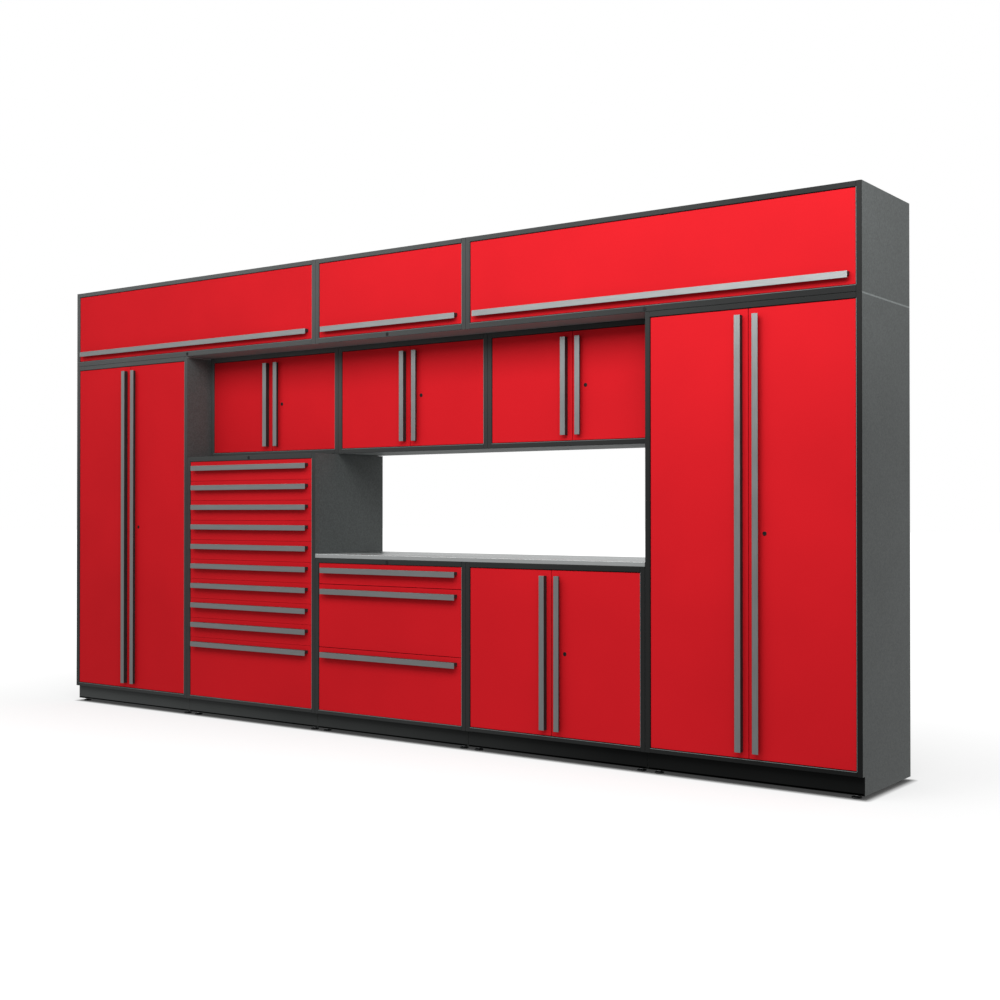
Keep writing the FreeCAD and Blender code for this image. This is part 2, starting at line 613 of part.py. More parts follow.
# ---- the whole set ------------------------------------------------------------------------
def build():
    os.makedirs("parts", exist_ok=True)
    floor_z = {"tall": (FOOT_HEIGHT, TALL_TOP), "chest": (FOOT_HEIGHT, CHEST_TOP),
               "base": (FOOT_HEIGHT, BASE_TOP)}
    door_sets = [("left_tall", 0, FACE_Y, floor_z["tall"], TALL_OPEN, DECK_Z),
                 ("right_tall", 4, FACE_Y, floor_z["tall"], TALL_OPEN, DECK_Z),
                 ("base", 3, FACE_Y, floor_z["base"], BASE_OPEN, DECK_Z)]
    door_sets += [(f"wall_{n}", n, WALL_Y, (WALL_BOTTOM, TALL_TOP), WALL_OPEN, WALL_BOTTOM)
                  for n in (1, 2, 3)]
    for name, index, front_y, z, opening, deck_z in door_sets:
        door_case(f"{name}_case", index, front_y, z, opening, deck_z)
        for side in ("left", "right"):
            hinged_door(f"{name}_door_{side}", index, side, front_y, opening)
        door_lock(f"{name}_lock", index, front_y, opening)

    drawer_case("chest_case", 1, floor_z["chest"], CHEST_OPEN)
    drawer_case("drawer_base_case", 2, floor_z["base"], BASE_OPEN)
    channels = drawer_stack("chest_drawer", 1, CHEST_OPEN, CHEST_ROWS, CHEST_SEAM)
    channels += drawer_stack("base_drawer", 2, BASE_OPEN, BASE_ROWS, FRONT_GAP)
    export("drawer_runners", channels)
    cam_y = FACE_Y + LIP + RAIL_CAM_BEHIND
    cam_lock("chest_lock", rail_lock(1, 1, floor_z["chest"], CHEST_OPEN), FACE_Y, cam_y)
    cam_lock("drawer_base_lock", rail_lock(2, 1, floor_z["base"], BASE_OPEN), FACE_Y, cam_y)

    for name, first, count in (("left", 0, 2), ("middle", 2, 1), ("right", 3, 2)):
        overhead_case(f"{name}_overhead_case", first, count)
        lift_door(f"{name}_lift_door", first, count)
        strut_set(name, first, count)
        cam_lock(f"{name}_lift_lock", overhead_lock(first, count), FACE_Y, cam_y)

    shelves()
    worktop()
    levelling_feet()


build()
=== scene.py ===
"""Looks of the modular garage cabinet wall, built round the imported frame. Metres, +Z up."""
import json
import math
import bmesh
import bpy
from mathutils import Matrix, Vector
from mathutils.geometry import tessellate_polygon

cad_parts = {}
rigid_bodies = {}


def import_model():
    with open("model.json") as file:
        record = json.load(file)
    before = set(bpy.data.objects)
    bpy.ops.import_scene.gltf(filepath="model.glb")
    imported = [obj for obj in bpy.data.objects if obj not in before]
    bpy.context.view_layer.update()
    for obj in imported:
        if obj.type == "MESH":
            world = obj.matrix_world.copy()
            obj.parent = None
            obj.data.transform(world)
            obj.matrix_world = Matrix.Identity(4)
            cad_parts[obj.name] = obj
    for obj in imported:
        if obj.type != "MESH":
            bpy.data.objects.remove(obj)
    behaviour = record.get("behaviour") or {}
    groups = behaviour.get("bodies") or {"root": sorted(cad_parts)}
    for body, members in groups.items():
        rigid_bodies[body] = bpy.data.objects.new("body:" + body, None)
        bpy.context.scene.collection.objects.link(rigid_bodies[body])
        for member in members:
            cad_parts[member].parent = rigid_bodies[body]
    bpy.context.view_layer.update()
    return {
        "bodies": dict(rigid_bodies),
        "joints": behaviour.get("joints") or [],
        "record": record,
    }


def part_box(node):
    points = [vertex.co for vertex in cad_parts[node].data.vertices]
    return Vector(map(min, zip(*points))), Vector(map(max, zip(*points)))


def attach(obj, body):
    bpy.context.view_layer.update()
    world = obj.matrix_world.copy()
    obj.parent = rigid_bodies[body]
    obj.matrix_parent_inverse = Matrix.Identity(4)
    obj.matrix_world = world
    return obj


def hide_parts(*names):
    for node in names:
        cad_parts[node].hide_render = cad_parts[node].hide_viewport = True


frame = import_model()

MM = 0.001
ROOT = "cabinet_wall"

# ---- sizes the frame's boxes don't give, in metres ------------------------------------------
SHEET = 1.2 * MM
STILE = 22 * MM
LIP = 24 * MM                 # depth of the frame's inward returns
LEAF = 18 * MM                # thickness of doors and drawer fronts
LEAF_RIM = 9 * MM             # red rim left round the inner liner
LINER = 1.5 * MM
FRONT_INSET = 3.5 * MM
HANDLE_REACH = 20 * MM
PLATE_W = 25 * MM
PLATE_T = 2.0 * MM
BODY_W = 15 * MM
SETBACK = 23 * MM
DRAWER_HANDLE_DROP = 21 * MM
PIN_R = 3 * MM
PIN_IN = 9 * MM
PIN_BACK = 5 * MM
PIN_REACH = 5.3 * MM
BOTTOM_RAIL = 18 * MM
TOE_RECESS = 20 * MM
TOE_KICK = 70 * MM
TOP_RAIL = 22 * MM
CHEST_RAIL = 24 * MM
OVERHEAD_LOW_RAIL = 26 * MM
OVERHEAD_TOP_RAIL = 21 * MM
LOCK_R = 8.5 * MM
STRUT_TUBE_R = 7.5 * MM
STRUT_ROD_R = 4 * MM
STRUT_EYE_R = 8 * MM
STRUT_EYE_W = 6 * MM
STRUT_GAP = 1 * MM
TRAY_DROP = 21 * MM           # tray top below the top of its drawer unit
TRAY_RISE = 6 * MM
RUNNER_W = 12.5 * MM
TRAY_CLEAR = 2 * MM
TRAY_T = 1 * MM
FRONT_GAP = 2.5 * MM
CHEST_SEAM = 1.0 * MM
BEND = 2.2 * MM               # outside radius of the sheet bends
DRAWER_EDGE = 0.7 * MM        # rounding of drawer front edges
SHARP_ANGLE = math.radians(50)
BEAD_PITCH = 0.28
RIVET_PITCH = 0.22
HOLE_R = 4 * MM
HOLE_FROM_SIDE = 50 * MM
HOLE_FROM_EDGE = 60 * MM

STRUT_TUBE_LEN = 132 * MM
NORMAL_WEIGHT = 80            # how strongly large faces steer the shading normals

# ---- painted light and shade over the row: (axis, start, end, factor at start, factor at end) ---
SIDE_PAINTED_LIGHT = (
    (0, 1.0, 2.2, 1.0, 1.35),         # painted light: lighter towards the right end
    (0, -1.9, -1.2, 1.3, 1.0),        # painted light: lighter at the left locker
    (2, 1.3, 2.1, 1.06, 1.65),        # painted light: lighter towards the top
    (2, 1.828, 1.831, 1.0, 2.4),      # painted highlight: a light line at the seam above the lockers begins
    (2, 1.835, 1.837, 1.0, 0.42),     # and ends
)
FRAME_PAINTED_LIGHT = (
    (0, -1.2, 2.0, 1.0, 0.24),        # painted shade: darker towards the right
    (2, 1.2, 2.1, 1.0, 2.2),          # painted light: lighter towards the top
)
# painted light and shade on the plinth: lighter at the left end, darker towards the right
PLINTH_PAINTED_LIGHT = ((0, -2.2, 1.2, 2.8, 0.28),)
SIDE_MOTTLE = 0.16

# ---- stage -----------------------------------------------------------------------------------
FLOOR_REACH = 60.0
FLOOR_GREY = 0.25
FLOOR_GLOW = 1.0
# painted shadow: the floor's glow right beside the cabinets
FLOOR_GLOW_IN_PAINTED_SHADOW = 0.71
FLOOR_FADE = 3.2              # metres over which the painted shadow in the glow fades out away from the cabinets
FLOOR_PAINTED_SHADOW_BENEATH = 0.06          # share of the glow left under the cabinets, a painted shadow there
FLOOR_EDGE = 0.03             # metres over which that share rises to full
# the cabinets' footprint, round which the painted floor shadow lies
FOOTPRINT_MIDDLE = (0.0, 0.02, 0.0)
FOOTPRINT_HALF = (2.25, 0.235, 0.0)
WORLD_RAMP = {"From Min": -0.45, "From Max": -0.02, "To Min": 0.38, "To Max": 0.64}
WORLD_TILT = 0.35             # how much brighter the room is behind the cabinets than before them
STRIP_SIZE = (3.4, 1.6)
STRIPS = (                    # name, place, target, power
    ("strip_right", (1.9, -2.2, 3.2), (1.7, 0.0, 1.2), 88),
    ("strip_left", (-1.7, -2.2, 3.2), (-1.7, 0.0, 1.2), 34),
)
CAMERA_LENS = 50.03
CAMERA_SENSOR = 36.0
CAMERA_PLACE = (4.1468, -5.0362, 1.0441)
CAMERA_TILT = 90.441
CAMERA_TURN = 36.17

DOOR_CABINETS = ["left_tall", "right_tall", "base", "wall_1", "wall_2", "wall_3"]
OVERHEADS = ["left", "middle", "right"]
DRAWERS = sorted(b for b in frame["bodies"] if "_drawer_" in b)
LOCKS = sorted(b for b in frame["bodies"] if b.endswith("_lock"))


# ---- materials -------------------------------------------------------------------------------
class Nodes:
    """Short calls for building one material's node tree."""

    def __init__(self, name):
        self.material = bpy.data.materials.new(name)
        self.material.use_nodes = True
        self.tree = self.material.node_tree
        self.shader = self.tree.nodes["Principled BSDF"]
        self.place = self.add("ShaderNodeTexCoord").outputs["Object"]

    def add(self, kind, **values):
        node = self.tree.nodes.new(kind)
        for key, value in values.items():
            setattr(node, key, value)
        return node

    def link(self, out, socket):
        self.tree.links.new(out, socket)

    def noise(self, scale, detail=3.0, rough=0.55, stretch=(1, 1, 1), distortion=0.0):
        """Noise in row-frame metres; stretch divides the frequency along each axis."""
        mapping = self.add("ShaderNodeMapping")
        mapping.inputs["Scale"].default_value = [1.0 / s for s in stretch]
        self.link(self.place, mapping.inputs["Vector"])
        noise = self.add("ShaderNodeTexNoise")
        noise.inputs["Scale"].default_value = scale
        noise.inputs["Detail"].default_value = detail
        noise.inputs["Roughness"].default_value = rough
        noise.inputs["Distortion"].default_value = distortion
        self.link(mapping.outputs["Vector"], noise.inputs["Vector"])
        return noise.outputs["Fac"]

    def span(self, value, low, high, start=0.3, end=0.7):
        """Maps a factor to a range."""
        node = self.add("ShaderNodeMapRange")
        node.inputs["From Min"].default_value = start
        node.inputs["From Max"].default_value = end
        node.inputs["To Min"].default_value = low
        node.inputs["To Max"].default_value = high
        self.link(value, node.inputs["Value"])
        return node.outputs["Result"]

    def blend(self, fac, a, b):
        """Mixes two colours, each a plain colour or a socket."""
        node = self.add("ShaderNodeMix", data_type="RGBA")
        self.link(fac, node.inputs["Factor"])
        for colour, socket in ((a, node.inputs[6]), (b, node.inputs[7])):
            if hasattr(colour, "links"):
                self.link(colour, socket)
            else:
                socket.default_value = (*colour, 1.0)
        return node.outputs[2]

    def bump(self, heights):
        """Stacks bump layers: (height socket, strength, distance in metres)."""
        normal = None
        for height, strength, distance in heights:
            node = self.add("ShaderNodeBump")
            node.inputs["Strength"].default_value = strength
            node.inputs["Distance"].default_value = distance
            self.link(height, node.inputs["Height"])
            if normal:
                self.link(normal, node.inputs["Normal"])
            normal = node.outputs["Normal"]
        self.link(normal, self.shader.inputs["Normal"])

    def set(self, **values):
        for key, value in values.items():
            self.shader.inputs[key.replace("_", " ")].default_value = value


def shade(colour, factor):
    return tuple(min(1.0, c * factor) for c in colour)


def powder_coat(name, colour, rough=(0.42, 0.52), spec=0.3, depth=1.0, drift=0.06, painted_fades=(),
                mottle=0.0):
    """Sprayed powder coat: orange-peel skin, fine grain, slow drift of shade and gloss.

    Each painted fade is painted light or shade: (axis, start, end, factor at start, factor at end), in
    row-frame metres.
    Mottle is the strength of a coarse speckle, as a share of the colour.
    """
    n = Nodes(name)
    slow = n.noise(2.2, 2.0)
    grain = n.noise(900.0, 2.0, 0.6)
    peel = n.noise(260.0, 3.0, 0.5)
    base = n.blend(n.span(slow, 0.0, 1.0), shade(colour, 1 - drift), shade(colour, 1 + drift))
    speck = n.blend(n.span(grain, 0.0, 1.0, 0.35, 0.65), shade(colour, 0.90), shade(colour, 1.10))
    mixed = n.add("ShaderNodeMix", data_type="RGBA")
    mixed.inputs["Factor"].default_value = 0.35
    n.link(base, mixed.inputs[6])
    n.link(speck, mixed.inputs[7])
    factors = [n.span(n.noise(150.0, 2.0, 0.6), 1 - mottle, 1 + mottle, 0.35, 0.65)] if mottle else []
    for axis, start, end, low, high in painted_fades:
        split = n.add("ShaderNodeSeparateXYZ")
        n.link(n.place, split.inputs[0])
        factors.append(n.span(split.outputs[axis], low, high, start, end))
    colour_out = mixed.outputs[2]
    for factor in factors:
        scaled = n.add("ShaderNodeVectorMath", operation="SCALE")
        n.link(colour_out, scaled.inputs[0])
        n.link(factor, scaled.inputs["Scale"])
        colour_out = scaled.outputs["Vector"]
    n.link(colour_out, n.shader.inputs["Base Color"])
    n.link(n.span(peel, rough[0], rough[1]), n.shader.inputs["Roughness"])
    n.bump([(peel, 0.30 * depth, 0.00025), (grain, 0.16 * depth, 0.00012)])
    n.set(Specular_IOR_Level=spec)
    return n.material


def brushed_metal(name, colour, along, rough=(0.30, 0.42), spread=0.10, aniso=0.5, scale=900.0):
    """Metal with fine brush lines along one axis (0, 1 or 2)."""
    n = Nodes(name)
    stretch = [1.0, 1.0, 1.0]
    stretch[along] = 60.0
    lines = n.noise(scale, 4.0, 0.65, stretch)
    streaks = n.noise(scale * 0.16, 3.0, 0.6, stretch)
    cloud = n.noise(7.0, 3.0)
    tone = n.blend(n.span(lines, 0.0, 1.0), shade(colour, 1 - spread), shade(colour, 1 + spread))
    worn = n.blend(n.span(streaks, 0.0, 1.0), shade(colour, 0.92), shade(colour, 1.06))
    mixed = n.add("ShaderNodeMix", data_type="RGBA")
    mixed.inputs["Factor"].default_value = 0.4
    n.link(tone, mixed.inputs[6])
    n.link(worn, mixed.inputs[7])
    n.link(mixed.outputs[2], n.shader.inputs["Base Color"])
    n.link(n.span(cloud, rough[0], rough[1]), n.shader.inputs["Roughness"])
    n.bump([(lines, 0.18, 0.00008), (streaks, 0.10, 0.0001)])
    n.set(Metallic=1.0, Anisotropic=aniso)
    return n.material


def zinc_plate(name):
    """Bright zinc plating with a faint spangle."""
    n = Nodes(name)
    cells = n.add("ShaderNodeTexVoronoi")
    cells.inputs["Scale"].default_value = 160.0
    n.link(n.place, cells.inputs["Vector"])
    fine = n.noise(500.0, 3.0)
    tone = n.blend(n.span(cells.outputs["Distance"], 0.0, 1.0, 0.0, 0.7),
                   (0.50, 0.51, 0.52), (0.66, 0.67, 0.69))
    n.link(tone, n.shader.inputs["Base Color"])
    n.link(n.span(fine, 0.26, 0.42), n.shader.inputs["Roughness"])
    n.bump([(fine, 0.12, 0.0001)])
    n.set(Metallic=1.0)
    return n.material


def moulded_plastic(name, colour, rough=(0.45, 0.6), grain_scale=1400.0, spec=0.4):
    """Moulded plastic with a spark-eroded grain."""
    n = Nodes(name)
    grain = n.noise(grain_scale, 2.0, 0.6)
    cloud = n.noise(30.0, 2.0)
    tone = n.blend(n.span(cloud, 0.0, 1.0), shade(colour, 0.85), shade(colour, 1.2))
    n.link(tone, n.shader.inputs["Base Color"])
    n.link(n.span(grain, rough[0], rough[1]), n.shader.inputs["Roughness"])
    n.bump([(grain, 0.35, 0.0001)])
    n.set(Specular_IOR_Level=spec)
    return n.material


def ribbed_mat(name):
    """Black drawer liner with fine ribs across the drawer."""
    n = Nodes(name)
    wave = n.add("ShaderNodeTexWave", wave_type="BANDS", bands_direction="X", wave_profile="SIN")
    wave.inputs["Scale"].default_value = 70.0
    n.link(n.place, wave.inputs["Vector"])
    grain = n.noise(800.0, 2.0)
    tone = n.blend(n.span(grain, 0.0, 1.0), (0.012, 0.012, 0.013), (0.022, 0.022, 0.023))
    n.link(tone, n.shader.inputs["Base Color"])
    n.link(n.span(grain, 0.7, 0.9), n.shader.inputs["Roughness"])
    n.bump([(wave.outputs["Fac"], 0.6, 0.0008), (grain, 0.3, 0.0001)])
    n.set(Specular_IOR_Level=0.25)
    return n.material


RED = powder_coat("red_powder_coat", (0.585, 0.0108, 0.0168), rough=(0.50, 0.60), spec=0.03)
# charcoal coat with painted light: lighter right end, left locker and top, and a painted highlight line at
# the seam above the lockers
CHARCOAL = powder_coat("charcoal_powder_coat", (0.064, 0.070, 0.069), rough=(0.42, 0.52), spec=0.18,
                       depth=1.4, drift=0.10, mottle=SIDE_MOTTLE, painted_fades=SIDE_PAINTED_LIGHT)
# frame coat with painted shade towards the right and painted light towards the top
FRAME_BLACK = powder_coat("frame_powder_coat", (0.046, 0.048, 0.0475), rough=(0.50, 0.60), spec=0.06,
                          depth=1.4, drift=0.10, painted_fades=FRAME_PAINTED_LIGHT)
# plinth coat with painted light at the left end and painted shade towards the right
PLINTH_BLACK = powder_coat("plinth_powder_coat", (0.026, 0.0275, 0.0272), rough=(0.50, 0.60), spec=0.04,
                           depth=1.4, drift=0.10, painted_fades=PLINTH_PAINTED_LIGHT)
# painted light: a lighter grey than the charcoal for the undersides of wall and overhead cases, standing in
# for light from below
DECK_PAINTED_LIGHT_GREY = powder_coat("deck_powder_coat", (0.20, 0.212, 0.210), rough=(0.5, 0.6), spec=0.15)
INNER_CHARCOAL = powder_coat("charcoal_inner_coat", (0.040, 0.044, 0.044), rough=(0.5, 0.6), spec=0.3)
HANDLE_X = brushed_metal("handle_plate_brushed_x", (0.32, 0.336, 0.336), 0, rough=(0.42, 0.55), spread=0.2)
HANDLE_Z = brushed_metal("handle_plate_brushed_z", (0.32, 0.336, 0.336), 2, rough=(0.42, 0.55), spread=0.2)
WORKTOP_STEEL = brushed_metal("worktop_brushed_steel", (0.62, 0.640, 0.640), 0, rough=(0.28, 0.40),
                              aniso=0.6, scale=700.0)
HANDLE_BLACK = moulded_plastic("handle_profile_black", (0.018, 0.022, 0.022))
FOOT_BLACK = moulded_plastic("foot_black", (0.016, 0.017, 0.018), grain_scale=900.0)
LOCK_BLACK = moulded_plastic("lock_black", (0.010, 0.010, 0.011), rough=(0.45, 0.55), spec=0.2)
# painted highlight: light grey for the frame bends that catch the light
PAINTED_HIGHLIGHT_GREY = powder_coat("edge_powder_coat", (0.17, 0.19, 0.19), rough=(0.40, 0.50), spec=0.2)
DARK_STEEL = powder_coat("blackened_steel", (0.020, 0.020, 0.021), rough=(0.5, 0.6), spec=0.12)
TUBE_BLACK = moulded_plastic("strut_tube_black", (0.012, 0.012, 0.013), rough=(0.18, 0.26), spec=0.5)
ZINC = zinc_plate("zinc_plate")
LINER_MAT = ribbed_mat("drawer_liner")


# ---- mesh tools --------------------------------------------------------------------------------
def add_box(bm, x, y, z, bevel=0.4 * MM, segments=2):
    """Box from (low, high) pairs with rounded edges."""
    size = (x[1] - x[0], y[1] - y[0], z[1] - z[0])
    middle = ((x[0] + x[1]) / 2, (y[0] + y[1]) / 2, (z[0] + z[1]) / 2)
    matrix = Matrix.Translation(middle) @ Matrix.Diagonal((*size, 1.0))
    made = bmesh.ops.create_cube(bm, size=1.0, matrix=matrix)
    offset = min(bevel, 0.45 * min(size))
    if offset > 0 and segments > 0:
        edges = list({e for v in made["verts"] for e in v.link_edges})
        bmesh.ops.bevel(bm, geom=edges, offset=offset, segments=segments, profile=0.5,
                        affect="EDGES", clamp_overlap=True)


def corner_arc(before, corner, after, radius):
    """Bend centre and outward directions of a square bend, from first to last."""
    d1 = (corner - before).normalized()
    d2 = (after - corner).normalized()
    turn = 1 if d1.cross(d2) > 0 else -1
    inward1 = Vector((-d1.y, d1.x)) * turn
    centre = corner - d1 * radius + inward1 * radius
    steps = 4
    rays = []
    for k in range(steps + 1):
        angle = turn * math.pi / 2 * k / steps
        ray = -inward1
        rays.append(Vector((ray.x * math.cos(angle) - ray.y * math.sin(angle),
                            ray.x * math.sin(angle) + ray.y * math.cos(angle))))
    return centre, rays, turn


def add_fold(bm, path, span, axis, radius=BEND, thickness=SHEET):
    """Bent sheet: square-cornered outer path in the plane across axis, pushed along it.

    The path is in (y, z) for axis 0 and in (x, y) for axis 2, and all its bends turn one way.
    """
    path = [Vector(p) for p in path]
    middle, turn = [], 1
    for before, corner, after in zip(path, path[1:], path[2:]):
        centre, rays, turn = corner_arc(before, corner, after, radius)
        middle += [(centre + ray * radius, centre + ray * (radius - thickness)) for ray in rays]
    ends = []
    for first, second in ((path[0], path[1]), (path[-2], path[-1])):
        d = (second - first).normalized()
        ends.append(Vector((-d.y, d.x)) * turn * thickness)
    stations = [(path[0], path[0] + ends[0])] + middle + [(path[-1], path[-1] + ends[1])]

    def vert(point, along):
        if axis == 0:
            return bm.verts.new((along, point.x, point.y))
        return bm.verts.new((point.x, point.y, along))

    rows = [[vert(point, along) for point in pair for along in span] for pair in stations]
    for a, b in zip(rows, rows[1:]):
        for i, j in ((0, 1), (1, 3), (3, 2), (2, 0)):
            bm.faces.new((a[i], a[j], b[j], b[i]))
    for row in (rows[0], rows[-1]):
        bm.faces.new((row[0], row[1], row[3], row[2]))


def add_drilled_plate(bm, x, y, z, holes, radius):
    """Upright plate with round holes through it along Y; holes are (x, z) centres."""
    outline = [(x[0], z[0]), (x[1], z[0]), (x[1], z[1]), (x[0], z[1])]
    steps = 20
    rings = [[(hx + radius * math.cos(2 * math.pi * k / steps),
               hz + radius * math.sin(2 * math.pi * k / steps)) for k in range(steps)]
             for hx, hz in holes]
    loops = [outline] + rings
    flat = [Vector((u, v, 0)) for loop in loops for u, v in loop]
    triangles = tessellate_polygon([[Vector((u, v, 0)) for u, v in loop] for loop in loops])
    sheets = [[bm.verts.new((p.x, depth, p.y)) for p in flat] for depth in y]
    for sheet in sheets:
        for triangle in triangles:
            bm.faces.new([sheet[k] for k in triangle])
    start = 0
    for loop in loops:
        count = len(loop)
        for k in range(count):
            a, b = start + k, start + (k + 1) % count
            bm.faces.new((sheets[0][a], sheets[0][b], sheets[1][b], sheets[1][a]))
        start += count


def basis(axis):
    """Two directions square to an axis."""
    axis = Vector(axis).normalized()
    side = Vector((0, 0, 1)) if abs(axis.z) < 0.9 else Vector((1, 0, 0))
    u = axis.cross(side).normalized()
    return axis, u, axis.cross(u).normalized()


def add_turned(bm, origin, axis, profile, segments=24):
    """Solid of revolution from (radius, height along the axis) points; ends close on the axis."""
    axis, u, v = basis(axis)
    origin = Vector(origin)
    rings = []
    for radius, height in profile:
        if radius <= 1e-7:
            rings.append([bm.verts.new(origin + axis * height)])
            continue
        ring = []
        for k in range(segments):
            angle = 2 * math.pi * k / segments
            spoke = u * math.cos(angle) + v * math.sin(angle)
            ring.append(bm.verts.new(origin + axis * height + spoke * radius))
        rings.append(ring)
    for low, high in zip(rings, rings[1:]):
        count = max(len(low), len(high))
        for k in range(count):
            a, b = low[k % len(low)], low[(k + 1) % len(low)]
            c, d = high[(k + 1) % len(high)], high[k % len(high)]
            corners = []
            for vert in (a, b, c, d):
                if vert not in corners:
                    corners.append(vert)
            if len(corners) >= 3:
                bm.faces.new(corners)


def bar_profile(radius, length, chamfer):
    """Profile of a round bar with chamfered ends."""
    return [(0, 0), (radius - chamfer, 0), (radius, chamfer), (radius, length - chamfer),
            (radius - chamfer, length), (0, length)]


def dome_profile(radius, height):
    """Profile of a low round screw head."""
    steps = 5
    points = [(0, 0), (radius, 0)]
    for k in range(1, steps):
        angle = math.pi / 2 * k / steps
        points.append((radius * math.cos(angle), height * math.sin(angle)))
    return points + [(0, height)]


def add_screw(bm, origin, axis, radius=3.2 * MM, height=1.2 * MM):
    add_turned(bm, origin, axis, dome_profile(radius, height), 16)


def piece(name, bm, material, body, replaces=()):
    """Turns a mesh under construction into a finished piece on its body."""
    bmesh.ops.recalc_face_normals(bm, faces=bm.faces)
    mesh = bpy.data.meshes.new(name)
    bm.to_mesh(mesh)
    bm.free()
    obj = bpy.data.objects.new(name, mesh)
    bpy.context.scene.collection.objects.link(obj)
    mesh.materials.append(material)
    for polygon in mesh.polygons:
        polygon.use_smooth = True
    mesh.set_sharp_from_angle(angle=SHARP_ANGLE)
    weighted = obj.modifiers.new("normals", "WEIGHTED_NORMAL")
    weighted.mode = "FACE_AREA_WITH_ANGLE"
    weighted.weight = NORMAL_WEIGHT
    weighted.keep_sharp = True
    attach(obj, body)
    if replaces:
        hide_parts(*replaces)


def node_span(node):
    """A node's (x, y, z) extents as (low, high) pairs."""
    low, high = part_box(node)
    return (low.x, high.x), (low.y, high.y), (low.z, high.z)


# ---- fronts --------------------------------------------------------------------------------------
def make_leaf(body, x, y0, z, edge=1.3 * MM):
    """Double-skin front: a red pan with rolled edges and a charcoal liner let into its back."""
    bm = bmesh.new()
    add_box(bm, x, (y0, y0 + LEAF - LINER), z, bevel=edge, segments=3)
    piece(f"{body}_panel", bm, RED, body, replaces=(body,))
    bm = bmesh.new()
    inner_x = (x[0] + LEAF_RIM, x[1] - LEAF_RIM)
    inner_z = (z[0] + LEAF_RIM, z[1] - LEAF_RIM)
    back = y0 + LEAF
    add_box(bm, inner_x, (back - LINER - 0.5 * MM, back), inner_z, bevel=0.5 * MM)
    piece(f"{body}_liner", bm, INNER_CHARCOAL, body)


def make_handle(body, along, across, y_leaf, vertical, flush_high):
    """Full-length pull: bright brushed plate on a dark profile with screwed end caps."""
    front = y_leaf - FRONT_INSET - HANDLE_REACH
    low, high = across
    profile = (high - BODY_W, high) if flush_high else (low, low + BODY_W)

    def box(bm, a, l, y, bevel, segments=2):
        if vertical:
            add_box(bm, a, y, l, bevel, segments)
        else:
            add_box(bm, l, y, a, bevel, segments)

    bm = bmesh.new()
    box(bm, across, along, (front, front + PLATE_T), 0.6 * MM, 3)
    piece(f"{body}_handle_plate", bm, HANDLE_Z if vertical else HANDLE_X, body)
    bm = bmesh.new()
    cap = 2.5 * MM
    inner = (along[0] + cap, along[1] - cap)
    box(bm, profile, inner, (front + PLATE_T, y_leaf), 0.5 * MM)
    for end, way in ((along[0], 1), (along[1], -1)):
        ends = sorted((end + way * 0.3 * MM, end + way * cap))
        box(bm, (profile[0] + 0.3 * MM, profile[1] - 0.3 * MM), ends,
            (front + PLATE_T, y_leaf - 0.2 * MM), 0.8 * MM, 3)
        middle = (profile[0] + profile[1]) / 2
        depth = (front + PLATE_T + y_leaf) / 2
        if vertical:
            spot, axis = (middle, depth, end + way * 0.35 * MM), (0, 0, -way)
        else:
            spot, axis = (end + way * 0.35 * MM, depth, middle), (-way, 0, 0)
        ring = [(2.2 * MM, -0.2 * MM), (2.2 * MM, 0.25 * MM), (3.4 * MM, 0.25 * MM), (3.6 * MM, 0),
                (3.6 * MM, -0.2 * MM), (2.2 * MM, -0.2 * MM)]
        add_turned(bm, spot, axis, ring, 20)
    piece(f"{body}_handle_profile", bm, HANDLE_BLACK, body)


def make_pins(body, pins):
    """Hinge pins with chamfered ends: (start, axis) pairs, drawn from inside the leaf."""
    bm = bmesh.new()
    for start, axis in pins:
        add_turned(bm, start, axis, bar_profile(PIN_R, PIN_REACH + 2 * MM, 0.5 * MM), 20)
    piece(f"{body}_pins", bm, DARK_STEEL, body)


def make_hinged_door(cabinet, side):
    body = f"{cabinet}_door_{side}"
    x, y, z = node_span(body)
    z = (z[0] + PIN_REACH, z[1] - PIN_REACH)
    y0 = y[1] - LEAF
    make_leaf(body, x, y0, z)
    if side == "left":
        across = (x[1] - SETBACK - PLATE_W, x[1] - SETBACK)
        pin_x = x[0] + PIN_IN
    else:
        across = (x[0] + SETBACK, x[0] + SETBACK + PLATE_W)
        pin_x = x[1] - PIN_IN
    make_handle(body, (z[0] + SETBACK, z[1] - SETBACK), across, y0, True, side == "left")
    inside = 2 * MM
    make_pins(body, [((pin_x, y0 + PIN_BACK, z[0] + inside), (0, 0, -1)),
                     ((pin_x, y0 + PIN_BACK, z[1] - inside), (0, 0, 1))])


